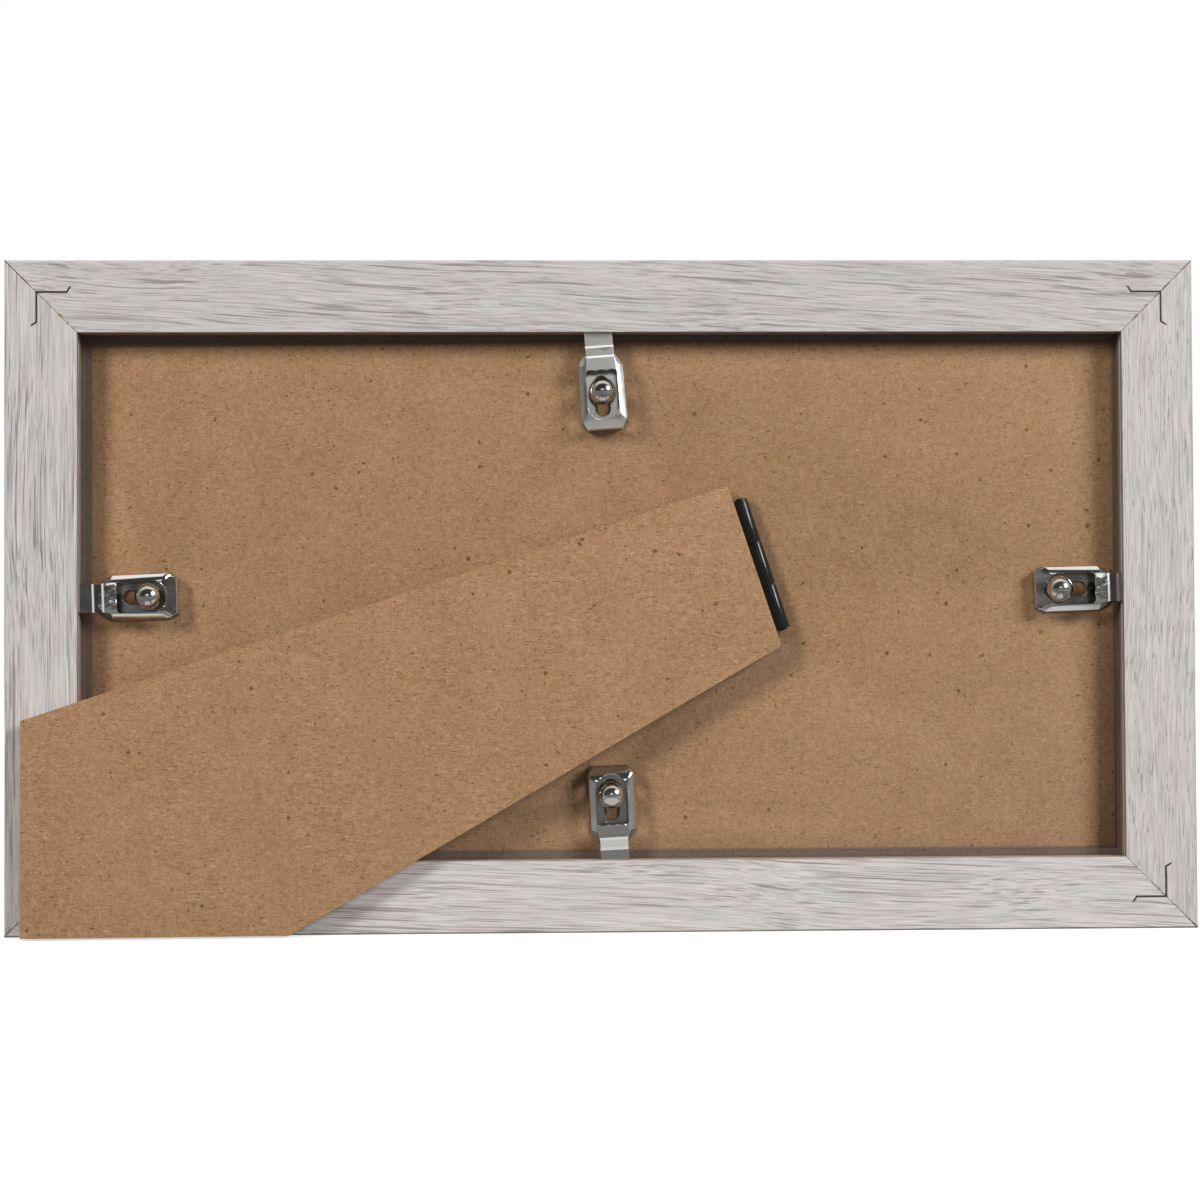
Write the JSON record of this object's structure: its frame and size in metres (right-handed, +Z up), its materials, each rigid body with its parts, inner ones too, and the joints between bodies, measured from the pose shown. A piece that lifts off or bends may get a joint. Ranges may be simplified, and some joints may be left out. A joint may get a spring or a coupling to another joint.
{
  "type": "clip-back picture frame",
  "caption": "Small landscape picture frame with mitred rails, a backboard held by sliding spring clips on ball rivets, and a hinged easel strut.",
  "frame": {"origin": "middle of the bottom rail's bottom face, half way through the frame's depth", "axes": "+X to the right as seen from behind, +Y from the back to the front, +Z up"},
  "size_m": [0.2344, 0.0199, 0.1324],
  "materials": {
    "rail_foil": "pale grey oak-grain foil on a fibreboard core, satin",
    "nail_steel": "plain strip steel, a little dulled",
    "glass": "clear float glass",
    "paper": "plain white print paper, matt",
    "board": "brown hardboard, smooth and matt",
    "plated_clip": "bright nickel plate",
    "plated_ball": "bright nickel plate",
    "black_steel": "black, semi-gloss",
    "strut_board": "brown hardboard, smooth and matt, with paler cut edges"
  },
  "bodies": {
    "frame": {"top_rail": "rail_foil", "bottom_rail": "rail_foil", "left_rail": "rail_foil", "right_rail": "rail_foil", "corner_v_nails": "nail_steel", "glass_pane": "glass", "picture_sheet": "paper", "backboard": "board", "clip_rivets": "plated_ball", "board_leaf": "black_steel", "board_leaf_rivets": "black_steel", "hinge_pin": "black_steel"},
    "top_clip_body": {"top_clip": "plated_clip"},
    "right_clip_body": {"right_clip": "plated_clip"},
    "bottom_clip_body": {"bottom_clip": "plated_clip"},
    "left_clip_body": {"left_clip": "plated_clip"},
    "strut": {"easel_strut": "strut_board", "strut_leaf": "black_steel", "strut_leaf_nails": "nail_steel"}
  },
  "joints": [
    {"name": "top_clip_slide", "type": "slide", "parent": "frame", "child": "top_clip_body", "axis": [-0.0698, 0, 0.9976], "range_m": [-0.0013, 0.0027]},
    {"name": "right_clip_slide", "type": "slide", "parent": "frame", "child": "right_clip_body", "axis": [0.9997, 0, 0.0262], "range_m": [-0.0041, 0.0002]},
    {"name": "bottom_clip_slide", "type": "slide", "parent": "frame", "child": "bottom_clip_body", "axis": [0.0523, 0, -0.9986], "range_m": [-0.003, 0.0013]},
    {"name": "left_clip_slide", "type": "slide", "parent": "frame", "child": "left_clip_body", "axis": [-0.9994, 0, -0.0349], "range_m": [-0.0032, 0.0011]},
    {"name": "strut_hinge", "type": "hinge", "parent": "frame", "child": "strut", "pos_m": [0.0314, -0.0036, 0.0723], "axis": [-0.314, 0, 0.9494], "range_deg": [0, 34]}
  ]
}
